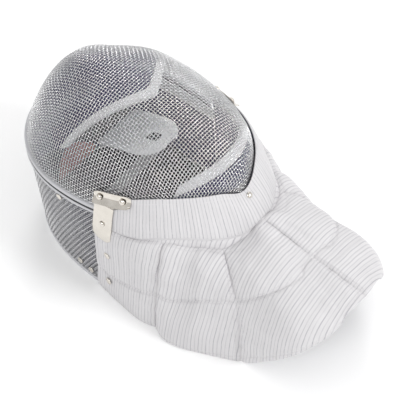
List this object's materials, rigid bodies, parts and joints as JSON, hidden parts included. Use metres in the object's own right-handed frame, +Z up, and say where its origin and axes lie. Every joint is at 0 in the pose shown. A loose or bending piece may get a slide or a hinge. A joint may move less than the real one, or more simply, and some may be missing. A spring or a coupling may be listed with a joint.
{
  "type": "fencing mask",
  "caption": "Fencing mask with a domed wire mesh face, side mesh, cheek brackets, a quilted conductive bib, padded lining and a spring tongue behind the head.",
  "frame": {"origin": "on the table under the middle of the whole mask, as it lies on its rear rim", "axes": "+Z up from the table through the mesh face, +Y towards the crown, -Y towards the tip of the bib, +X towards the wearer's left"},
  "size_m": [0.2158, 0.4013, 0.2203],
  "materials": {
    "steel_wire": "drawn steel wire in plain weave, 1 mm wire at 3.1 mm pitch, bright",
    "binding_grey": "satin grey edge binding",
    "lame_cloth": "pale grey conductive cloth with fine dark pinstripes, quilted",
    "nickel": "warm nickel plate, slightly brushed",
    "lining_navy": "matte navy padding cloth",
    "white_tape": "white edge tape, matte",
    "tongue_vinyl": "white padded cover over the spring tongue",
    "strap_webbing": "grey elastic webbing"
  },
  "bodies": {
    "root": {"front_mesh": "steel_wire", "side_mesh": "steel_wire", "front_binding": "binding_grey", "side_binding": "binding_grey", "rear_binding": "binding_grey", "bib": "lame_cloth", "cheek_bracket_right": "nickel", "cheek_bracket_left": "nickel", "bracket_rivet_right_1": "nickel", "bracket_rivet_right_2": "nickel", "bracket_rivet_right_3": "nickel", "bracket_rivet_left_1": "nickel", "bracket_rivet_left_2": "nickel", "bracket_rivet_left_3": "nickel", "bib_rivet_right_1": "nickel", "bib_rivet_right_2": "nickel", "bib_rivet_left_1": "nickel", "bib_rivet_left_2": "nickel", "mesh_stud_right_1": "nickel", "mesh_stud_right_2": "nickel", "mesh_stud_right_3": "nickel", "mesh_stud_left_1": "nickel", "mesh_stud_left_2": "nickel", "mesh_stud_left_3": "nickel", "chin_rivet": "nickel", "lining_crown": "lining_navy", "lining_chin": "lining_navy", "tape_crown": "white_tape", "tape_chin": "white_tape", "back_tongue": "tongue_vinyl", "back_strap": "strap_webbing"}
  },
  "joints": []
}
